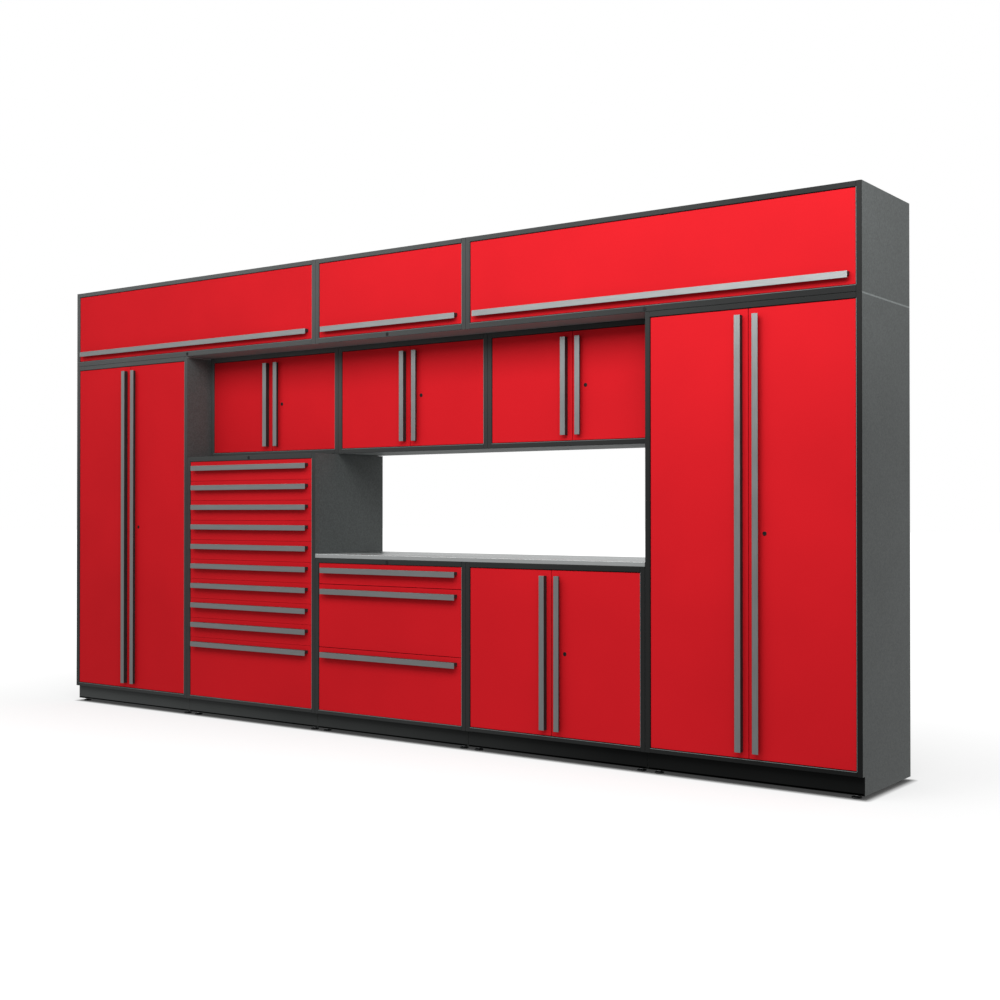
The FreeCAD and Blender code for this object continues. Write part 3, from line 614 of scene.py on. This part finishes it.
def make_lift_door(name):
    body = f"{name}_lift_door"
    x, y, z = node_span(body)
    x = (x[0] + PIN_REACH, x[1] - PIN_REACH)
    y0 = y[0] + HANDLE_REACH + FRONT_INSET
    make_leaf(body, x, y0, z)
    low = z[0] + SETBACK
    make_handle(body, (x[0] + SETBACK, x[1] - SETBACK), (low, low + PLATE_W), y0, False, True)
    pin_z = z[1] - PIN_IN
    inside = 2 * MM
    make_pins(body, [((x[0] + inside, y0 + PIN_BACK, pin_z), (-1, 0, 0)),
                     ((x[1] - inside, y0 + PIN_BACK, pin_z), (1, 0, 0))])
    eye = node_span(f"{name}_strut_rods")
    stud_y, stud_z = eye[1][0] + STRUT_EYE_R, eye[2][0] + STRUT_EYE_R
    bm = bmesh.new()
    for near, way in ((eye[0][0] + STRUT_EYE_W + STRUT_GAP, 1), (eye[0][1] - STRUT_EYE_W - STRUT_GAP, -1)):
        arm_x = sorted((near, near + way * 3 * MM))
        arm_z = (stud_z - STRUT_EYE_R, stud_z + STRUT_EYE_R)
        add_box(bm, arm_x, (y0 + LEAF, stud_y + STRUT_EYE_R), arm_z, bevel=1 * MM)
        foot_x = sorted((near, near + way * 22 * MM))
        add_box(bm, foot_x, (y0 + LEAF, y0 + LEAF + 1.5 * MM), arm_z, bevel=0.6 * MM)
        add_screw(bm, (near + way * 14 * MM, y0 + LEAF + 1.5 * MM, stud_z), (0, 1, 0))
    piece(f"{body}_studs", bm, ZINC, body)


def unit_span(body):
    """Height span of the drawer unit that a front belongs to."""
    z = node_span(body)[2]
    seam = CHEST_SEAM if body.startswith("chest") else FRONT_GAP
    return z[0] - seam / 2, z[1] + seam / 2


def make_drawer(body):
    """Front, handle, folded tray with hemmed edges, ribbed liner and slide members."""
    x, y, z = node_span(body)
    unit = unit_span(body)
    y0 = y[0] + HANDLE_REACH + FRONT_INSET
    make_leaf(body, x, y0, z, DRAWER_EDGE)
    top = z[1] - DRAWER_HANDLE_DROP
    make_handle(body, (x[0] + SETBACK, x[1] - SETBACK), (top - PLATE_W, top), y0, False, True)
    side = RUNNER_W + TRAY_CLEAR - FRONT_GAP
    tx = (x[0] + side, x[1] - side)
    ty = (y0 + LEAF, y[1])
    tz = (unit[0] + FRONT_GAP / 2 + TRAY_RISE, unit[1] - TRAY_DROP)
    t = TRAY_T
    hem = 3 * MM
    bm = bmesh.new()
    add_box(bm, tx, ty, (tz[0], tz[0] + t), 0.3 * MM)
    for low in (tx[0], tx[1] - t):
        add_box(bm, (low, low + t), ty, (tz[0], tz[1] - hem), 0.3 * MM)
    for low in (tx[0], tx[1] - hem):
        add_box(bm, (low, low + hem), ty, (tz[1] - 1.6 * hem, tz[1]), 1.2 * MM, 3)
    add_box(bm, tx, (ty[1] - t, ty[1]), (tz[0], tz[1] - hem), 0.3 * MM)
    add_box(bm, tx, (ty[1] - hem, ty[1]), (tz[1] - 1.6 * hem, tz[1]), 1.2 * MM, 3)
    piece(f"{body}_tray", bm, INNER_CHARCOAL, body)
    bm = bmesh.new()
    gap = 2 * MM
    add_box(bm, (tx[0] + gap, tx[1] - gap), (ty[0] + gap, ty[1] - 2 * gap), (tz[0] + t, tz[0] + t + gap),
            0.6 * MM)
    piece(f"{body}_mat", bm, LINER_MAT, body)
    bm = bmesh.new()
    low_z = tz[0] + 16 * MM
    bar_z = (low_z, low_z + 30 * MM)
    for inner, way in ((tx[0], -1), (tx[1], 1)):
        bar_x = sorted((inner + way * 1.5 * MM, inner + way * 3.3 * MM))
        bar_y = (ty[0] + 6 * MM, ty[0] + 370 * MM)
        add_box(bm, bar_x, bar_y, bar_z, 0.5 * MM)
        for edge in bar_z:
            rail = (edge, edge + 4 * MM) if edge == bar_z[0] else (edge - 4 * MM, edge)
            flange = sorted((inner + way * 1.5 * MM, inner + way * 6.5 * MM))
            add_box(bm, flange, bar_y, rail, 1.2 * MM, 3)
        for step in (0.1, 0.5, 0.9):
            spot_y = bar_y[0] + step * (bar_y[1] - bar_y[0])
            spot = (inner + way * 3.3 * MM, spot_y, (bar_z[0] + bar_z[1]) / 2)
            add_screw(bm, spot, (way, 0, 0), 3 * MM, 1 * MM)
    piece(f"{body}_slides", bm, ZINC, body)


# ---- cases -----------------------------------------------------------------------------------------
def frame_opening(case, z):
    """Clear opening heights of a case's front frame."""
    if "overhead" in case:
        return z[0] + OVERHEAD_LOW_RAIL - 0.6 * MM, z[1] - OVERHEAD_TOP_RAIL
    if case.startswith("wall"):
        return z[0] + TOP_RAIL, z[1] - TOP_RAIL
    rail = CHEST_RAIL if case.startswith("chest") else TOP_RAIL
    return z[0] + TOE_KICK + BOTTOM_RAIL, z[1] - rail


def make_case(case):
    """One cabinet case, bent from sheet: sides with stiles, top and bottom with rails, plinth, back."""
    x, y, z = node_span(case)
    open_z = frame_opening(case, z)
    floor = z[0] < 0.1
    deck = z[0] + TOE_KICK if floor else z[0]
    flange = 14 * MM
    stile_x = (x[0] + STILE, x[1] - STILE)

    bend_y = y[0] + BEND
    kick_y = y[0] + TOE_RECESS

    bm = bmesh.new()
    for outer, way in ((x[0], 1), (x[1], -1)):
        stile = outer + way * STILE
        path = [(outer, bend_y), (outer, y[0]), (stile, y[0]), (stile, y[0] + LIP)]
        add_fold(bm, path, (deck, z[1]), 2)
    seam = 0.12 * MM
    rail_x = (stile_x[0] + seam, stile_x[1] - seam)
    add_fold(bm, [(bend_y, z[1]), (y[0], z[1]), (y[0], open_z[1]), (y[0] + LIP, open_z[1])], rail_x, 0)
    add_fold(bm, [(y[0] + LIP, open_z[0]), (y[0], open_z[0]), (y[0], deck), (bend_y, deck)], rail_x, 0)
    piece(f"{case}_frame", bm, FRAME_BLACK, ROOT)

    # painted highlight: light grey strips on the right and bottom bends of the opening, where light catches
    bm = bmesh.new()
    edge_y = (y[0], y[0] + BEND)
    add_box(bm, (stile_x[1], stile_x[1] + BEND), edge_y, open_z, 0.5 * MM)
    add_box(bm, stile_x, edge_y, (open_z[0] - BEND, open_z[0]), 0.5 * MM)
    piece(f"{case}_edges", bm, PAINTED_HIGHLIGHT_GREY, ROOT)

    bm = bmesh.new()
    for outer, way in ((x[0], 1), (x[1], -1)):
        corner = [(outer + way * flange, y[1]), (outer, y[1])]
        add_fold(bm, corner + [(outer, bend_y)], (deck, z[1]), 2)
        if floor:
            add_fold(bm, corner + [(outer, kick_y + BEND)], (z[0], deck), 2)
    inner = (x[0] + SHEET, x[1] - SHEET)
    sheet_y = (bend_y, y[1] - 2 * SHEET)
    add_box(bm, inner, sheet_y, (z[1] - SHEET, z[1]), 0, 0)
    piece(f"{case}_sides", bm, CHARCOAL, ROOT, replaces=(case,))

    # deck: charcoal on floor cases; on wall and overhead cases a lighter grey, painted light from below
    bm = bmesh.new()
    add_box(bm, inner, sheet_y, (deck, deck + SHEET), 0, 0)
    piece(f"{case}_deck", bm, CHARCOAL if floor else DECK_PAINTED_LIGHT_GREY, ROOT)

    if floor:
        bm = bmesh.new()
        path = [(x[0], kick_y + BEND), (x[0], kick_y), (x[1], kick_y), (x[1], kick_y + BEND)]
        add_fold(bm, path, (z[0], deck), 2)
        add_fold(bm, [(kick_y, z[0] + 8 * MM), (kick_y, z[0]), (kick_y + 30 * MM, z[0])],
                 (x[0] + 4 * MM, x[1] - 4 * MM), 0)
        piece(f"{case}_plinth", bm, PLINTH_BLACK, ROOT)

    bm = bmesh.new()
    back_y = (y[1] - 3 * MM - SHEET, y[1] - 3 * MM)
    holes = []
    if not case.startswith(("chest", "drawer_base")):
        holes = [(hx, hz) for hx in (x[0] + HOLE_FROM_SIDE, x[1] - HOLE_FROM_SIDE)
                 for hz in (deck + HOLE_FROM_EDGE, z[1] - HOLE_FROM_EDGE)]
    add_drilled_plate(bm, inner, back_y, (z[0], z[1] - SHEET), holes, HOLE_R)
    for hx, hz in holes:
        rim = [(HOLE_R, 0), (HOLE_R, 0.9 * MM), (HOLE_R + 1.2 * MM, 0.9 * MM), (HOLE_R + 3 * MM, 0),
               (HOLE_R, 0)]
        add_turned(bm, (hx, back_y[1], hz), (0, 1, 0), rim, 24)
    bead_x = (x[0] + 80 * MM, x[1] - 80 * MM)
    beads = max(2, round((z[1] - deck) / BEAD_PITCH))
    for k in range(1, beads):
        bead_z = deck + (z[1] - deck) * k / beads
        add_box(bm, bead_x, (back_y[1] - 0.5 * MM, back_y[1] + 2 * MM), (bead_z - 7 * MM, bead_z + 7 * MM),
                2.2 * MM, 3)
    piece(f"{case}_back", bm, CHARCOAL, ROOT)

    bm = bmesh.new()
    rows = max(2, round((z[1] - z[0]) / RIVET_PITCH))
    for k in range(rows):
        screw_z = z[0] + flange / 2 + (z[1] - z[0] - flange) * k / (rows - 1)
        for screw_x in (x[0] + flange / 2, x[1] - flange / 2):
            spot = (screw_x, y[1] - 0.9 * MM, screw_z)
            add_turned(bm, spot, (0, 1, 0), dome_profile(2.8 * MM, 0.8 * MM), 16)
    piece(f"{case}_rivets", bm, ZINC, ROOT)


def make_brackets(cabinet):
    """Hinge plates above and below a pair of doors."""
    x, y, z = node_span(f"{cabinet}_case")
    open_z = frame_opening(f"{cabinet}_case", z)
    bm = bmesh.new()
    for edge, sign in ((x[0] + STILE, 1), (x[1] - STILE, -1)):
        ends = sorted((edge, edge + sign * 20 * MM))
        for low in (open_z[0] - 3 * MM, open_z[1]):
            add_box(bm, ends, (y[0] + 1.6 * MM, y[0] + LIP), (low, low + 3 * MM), 0.6 * MM)
    piece(f"{cabinet}_hinge_plates", bm, DARK_STEEL, ROOT)


# ---- worktop, shelves, slides, feet ------------------------------------------------------------------
def make_worktop():
    x, y, z = node_span("worktop")
    bm = bmesh.new()
    add_box(bm, x, y, z, bevel=2.2 * MM, segments=5)
    piece("worktop_sheet", bm, WORKTOP_STEEL, ROOT, replaces=("worktop",))


def make_shelves():
    """Shelves with folded, hemmed front lips, on the frame's own shelf places."""
    bm = bmesh.new()
    for place in frame["record"]["physics"]["openings"]:
        if "_space_" not in place["name"] or place["name"].endswith("_space_1"):
            continue
        low, high = place["box_m"]
        sx = (low[0], high[0])
        sy = (low[1] - 2.2 * MM, high[1])
        top = low[2] - 1 * MM
        add_box(bm, sx, sy, (top - SHEET, top), 0.4 * MM)
        add_box(bm, sx, (sy[0], sy[0] + SHEET), (top - 22 * MM, top), 0.5 * MM)
        add_box(bm, sx, (sy[0], sy[0] + 10 * MM), (top - 22 * MM, top - 21 * MM), 0.4 * MM)
        add_box(bm, sx, (sy[1] - SHEET, sy[1]), (top - 22 * MM, top), 0.4 * MM)
    piece("shelf_decks", bm, INNER_CHARCOAL, ROOT, replaces=("shelves",))


def make_runners():
    """Fixed slide channels with rolled edges beside every drawer."""
    bm = bmesh.new()
    for body in DRAWERS:
        x, y, _ = node_span(body)
        y0 = y[0] + HANDLE_REACH + FRONT_INSET
        low_z = unit_span(body)[0] + FRONT_GAP / 2 + TRAY_RISE + 10 * MM
        cz = (low_z, low_z + 42 * MM)
        cy = (y0 + LEAF + 6 * MM, y0 + LEAF + 406 * MM)
        for wall, way in ((x[0] - FRONT_GAP + 0.2 * MM, 1), (x[1] + FRONT_GAP - 0.2 * MM, -1)):
            web = sorted((wall, wall + way * SHEET))
            add_box(bm, web, cy, cz, 0.4 * MM)
            flange = sorted((wall, wall + way * 11 * MM))
            for edge in (cz[0], cz[1] - SHEET):
                add_box(bm, flange, cy, (edge, edge + SHEET), 0.5 * MM)
    piece("slide_channels", bm, ZINC, ROOT, replaces=("drawer_runners",))


def make_feet():
    """Levelling feet: disc, neck, zinc stem and lock nut."""
    discs = bmesh.new()
    stems = bmesh.new()
    for case in ("left_tall_case", "chest_case", "drawer_base_case", "base_case", "right_tall_case"):
        x, y, _ = node_span(case)
        for fx in (x[0] + 40 * MM, x[1] - 40 * MM):
            for fy in (y[0] + 45 * MM, y[1] - 45 * MM):
                disc = [(0, 0), (18.5 * MM, 0), (20 * MM, 1.2 * MM), (20 * MM, 4 * MM), (19 * MM, 5.6 * MM),
                        (15 * MM, 7 * MM), (11 * MM, 7.4 * MM), (10.5 * MM, 9 * MM), (0, 9 * MM)]
                add_turned(discs, (fx, fy, 0), (0, 0, 1), disc, 32)
                add_turned(stems, (fx, fy, 8 * MM), (0, 0, 1), bar_profile(5 * MM, 26 * MM, 0.8 * MM), 20)
                nut = [(0, 0), (7.6 * MM, 0), (8.6 * MM, 0.8 * MM), (8.6 * MM, 4.6 * MM),
                       (7.6 * MM, 5.4 * MM), (0, 5.4 * MM)]
                add_turned(stems, (fx, fy, 9.2 * MM), (0, 0, 1), nut, 6)
    piece("foot_discs", discs, FOOT_BLACK, ROOT, replaces=("levelling_feet",))
    piece("foot_stems", stems, ZINC, ROOT)


# ---- locks and struts ----------------------------------------------------------------------------------
def make_lock(body):
    """Cam lock: chamfered head with a keyway, barrel and zinc cam."""
    x, y, z = node_span(body)
    centre_x = x[0] + LOCK_R
    centre_z = (z[0] + z[1]) / 2
    bm = bmesh.new()
    head = [(0, 0.6 * MM), (1.2 * MM, 0.6 * MM), (5.2 * MM, 0.5 * MM), (5.6 * MM, 0.0), (7.6 * MM, 0.0),
            (LOCK_R, 0.7 * MM), (LOCK_R, y[1] - y[0] - 2 * MM), (0, y[1] - y[0] - 2 * MM)]
    add_turned(bm, (centre_x, y[0], centre_z), (0, 1, 0), head, 32)
    piece(f"{body}_barrel", bm, LOCK_BLACK, body, replaces=(body,))
    bm = bmesh.new()
    add_box(bm, (centre_x, x[1]), (y[1] - 2 * MM, y[1]), (centre_z - 4.5 * MM, centre_z + 4.5 * MM), 0.5 * MM)
    add_screw(bm, (centre_x, y[1] - 0.9 * MM, centre_z), (0, 1, 0), 4.5 * MM, 0.9 * MM)
    piece(f"{body}_cam", bm, ZINC, body)


def make_struts(name):
    """Gas strut pair: lacquered tubes on side studs, bright rods with eyes."""
    tubes_body, rods_body = f"{name}_strut_tubes", f"{name}_strut_rods"
    joints = {j["child"]: j for j in frame["joints"]}
    pivot = Vector(joints[tubes_body]["pos_m"])
    way = Vector(joints[rods_body]["axis"]).normalized()
    tx = node_span(tubes_body)[0]
    ex = node_span(rods_body)
    eye_gap = (Vector((0, ex[1][0] + STRUT_EYE_R, ex[2][0] + STRUT_EYE_R))
               - Vector((0, pivot.y, pivot.z)))
    length = eye_gap.length
    tube_len = STRUT_TUBE_LEN
    tubes, rods = bmesh.new(), bmesh.new()
    for line in (tx[0] + STRUT_TUBE_R, tx[1] - STRUT_TUBE_R):
        origin = Vector((line, pivot.y, pivot.z))
        r = STRUT_TUBE_R
        tube = [(0, 8 * MM), (r - 1.5 * MM, 8 * MM), (r, 9.5 * MM), (r, tube_len - 5 * MM),
                (r - 0.8 * MM, tube_len - 4 * MM), (r - 0.8 * MM, tube_len - 3 * MM),
                (r, tube_len - 2.4 * MM),
                (r - 1 * MM, tube_len), (STRUT_ROD_R + 0.3 * MM, tube_len), (STRUT_ROD_R + 0.3 * MM, 20 * MM),
                (0, 20 * MM)]
        add_turned(tubes, origin, way, tube, 28)
        lug = [(3.1 * MM, -6 * MM), (5.4 * MM, -6 * MM), (6 * MM, -5.4 * MM), (6 * MM, 5.4 * MM),
               (5.4 * MM, 6 * MM), (3.1 * MM, 6 * MM), (3.1 * MM, -6 * MM)]
        add_turned(tubes, origin, (1, 0, 0), lug, 24)
        add_box(tubes, (line - 3 * MM, line + 3 * MM), (pivot.y - 10 * MM, pivot.y - 5 * MM),
                (pivot.z - 3 * MM, pivot.z + 1 * MM), 0.8 * MM)
        rod = bar_profile(STRUT_ROD_R, length - 30 * MM, 0.6 * MM)
        add_turned(rods, origin + way * 24 * MM, way, rod, 24)
        tip = origin + way * length
        ring = [(3.2 * MM, -3 * MM), (7.2 * MM, -3 * MM), (8 * MM, -2.2 * MM), (8 * MM, 2.2 * MM),
                (7.2 * MM, 3 * MM), (3.2 * MM, 3 * MM), (3.2 * MM, -3 * MM)]
        add_turned(rods, tip, (1, 0, 0), ring, 28)
    piece(f"{tubes_body}_lacquered", tubes, TUBE_BLACK, tubes_body, replaces=(tubes_body,))
    piece(f"{rods_body}_bright", rods, ZINC, rods_body, replaces=(rods_body,))


def make_strut_studs(name):
    """Fixed studs on the case sides that carry the strut tubes."""
    x = node_span(f"{name}_overhead_case")[0]
    joint = next(j for j in frame["joints"] if j["child"] == f"{name}_strut_tubes")
    _, py, pz = joint["pos_m"]
    bm = bmesh.new()
    for start, way in ((x[0] + SHEET, 1), (x[1] - SHEET, -1)):
        pad = [(0, 0), (14 * MM, 0), (14 * MM, 1.5 * MM), (6 * MM, 1.8 * MM), (6 * MM, 25 * MM),
               (3 * MM, 25.4 * MM), (3 * MM, 42 * MM), (2.4 * MM, 42.6 * MM), (0, 42.6 * MM)]
        add_turned(bm, (start, py, pz), (way, 0, 0), pad, 24)
    piece(f"{name}_strut_pivots", bm, ZINC, ROOT)


# ---- stage, light, camera --------------------------------------------------------------------------------
def make_stage():
    """Pale seamless floor: faint real contact shadows, and a painted shadow in its glow near and under the
    cabinets.
    """
    bm = bmesh.new()
    reach = FLOOR_REACH
    corners = [(-reach, -reach), (reach, -reach), (reach, reach), (-reach, reach)]
    bm.faces.new([bm.verts.new((cx, cy, 0.0)) for cx, cy in corners])
    mesh = bpy.data.meshes.new("floor")
    bm.to_mesh(mesh)
    bm.free()
    floor = bpy.data.objects.new("floor", mesh)
    bpy.context.scene.collection.objects.link(floor)
    floor.visible_diffuse = False
    floor.visible_glossy = False
    n = Nodes("pale_floor")
    n.set(Roughness=0.9, Specular_IOR_Level=0.0)
    n.shader.inputs["Base Color"].default_value = (FLOOR_GREY, FLOOR_GREY, FLOOR_GREY, 1)
    n.shader.inputs["Emission Color"].default_value = (1, 1, 1, 1)
    outside = n.place
    for operation, operand in (("SUBTRACT", FOOTPRINT_MIDDLE), ("ABSOLUTE", None),
                               ("SUBTRACT", FOOTPRINT_HALF), ("MAXIMUM", (0.0, 0.0, 0.0))):
        step = n.add("ShaderNodeVectorMath", operation=operation)
        n.link(outside, step.inputs[0])
        if operand:
            step.inputs[1].default_value = operand
        outside = step.outputs["Vector"]
    away = n.add("ShaderNodeVectorMath", operation="LENGTH")
    n.link(outside, away.inputs[0])
    # painted shadow: the glow dims near the cabinets and nearly vanishes beneath them
    near = n.span(away.outputs["Value"], FLOOR_GLOW_IN_PAINTED_SHADOW, FLOOR_GLOW, 0.0, FLOOR_FADE)
    clear = n.span(away.outputs["Value"], FLOOR_PAINTED_SHADOW_BENEATH, 1.0, 0.0, FLOOR_EDGE)
    glow = n.add("ShaderNodeMath", operation="MULTIPLY")
    n.link(near, glow.inputs[0])
    n.link(clear, glow.inputs[1])
    n.link(glow.outputs[0], n.shader.inputs["Emission Strength"])
    mesh.materials.append(n.material)


def area_light(name, place, target, size, power):
    """Soft box at a place, facing a target."""
    data = bpy.data.lights.new(name, "AREA")
    data.shape = "RECTANGLE"
    data.size, data.size_y = size
    data.energy = power
    light = bpy.data.objects.new(name, data)
    light.location = place
    light.rotation_euler = (Vector(target) - Vector(place)).to_track_quat("-Z", "Y").to_euler()
    bpy.context.scene.collection.objects.link(light)


def make_world():
    """White studio: bright above the horizon, dim below it; the backdrop itself shows white."""
    world = bpy.data.worlds.new("studio")
    bpy.context.scene.world = world
    world.use_nodes = True
    tree = world.node_tree
    tree.nodes.clear()

    def add(kind):
        return tree.nodes.new(kind)

    place = add("ShaderNodeTexCoord")
    split = add("ShaderNodeSeparateXYZ")
    ramp = add("ShaderNodeMapRange")
    tree.links.new(place.outputs["Generated"], split.inputs[0])
    tilt = add("ShaderNodeMath")
    tilt.operation = "MULTIPLY_ADD"
    tilt.inputs[1].default_value = WORLD_TILT
    tree.links.new(split.outputs["Y"], tilt.inputs[0])
    tree.links.new(split.outputs["Z"], tilt.inputs[2])
    tree.links.new(tilt.outputs[0], ramp.inputs["Value"])
    for key, value in WORLD_RAMP.items():
        ramp.inputs[key].default_value = value
    lit = add("ShaderNodeBackground")
    seen = add("ShaderNodeBackground")
    mix = add("ShaderNodeMixShader")
    tree.links.new(ramp.outputs["Result"], lit.inputs["Strength"])
    seen.inputs["Color"].default_value = (1, 1, 1, 1)
    lit.inputs["Color"].default_value = (1, 1, 1, 1)
    tree.links.new(add("ShaderNodeLightPath").outputs["Is Camera Ray"], mix.inputs[0])
    tree.links.new(lit.outputs[0], mix.inputs[1])
    tree.links.new(seen.outputs[0], mix.inputs[2])
    tree.links.new(mix.outputs[0], add("ShaderNodeOutputWorld").inputs[0])


def make_light():
    make_world()
    for name, place, target, power in STRIPS:
        area_light(name, place, target, STRIP_SIZE, power)


def make_camera():
    """Three-quarter view from the right: 50 mm lens, eye height about a metre."""
    data = bpy.data.cameras.new("camera")
    data.lens = CAMERA_LENS
    data.sensor_width = CAMERA_SENSOR
    camera = bpy.data.objects.new("camera", data)
    camera.location = CAMERA_PLACE
    camera.rotation_euler = (math.radians(CAMERA_TILT), 0.0, math.radians(CAMERA_TURN))
    bpy.context.scene.collection.objects.link(camera)
    bpy.context.scene.camera = camera


# ---- build --------------------------------------------------------------------------------------------
def build():
    for cabinet in DOOR_CABINETS:
        make_case(f"{cabinet}_case")
        make_brackets(cabinet)
        for side in ("left", "right"):
            make_hinged_door(cabinet, side)
    for case in ("chest_case", "drawer_base_case"):
        make_case(case)
    for body in DRAWERS:
        make_drawer(body)
    for name in OVERHEADS:
        make_case(f"{name}_overhead_case")
        make_lift_door(name)
        make_struts(name)
        make_strut_studs(name)
    for body in LOCKS:
        make_lock(body)
    make_worktop()
    make_shelves()
    make_runners()
    make_feet()
    make_stage()
    make_light()
    make_camera()
    bpy.context.scene.view_settings.view_transform = "Standard"


build()
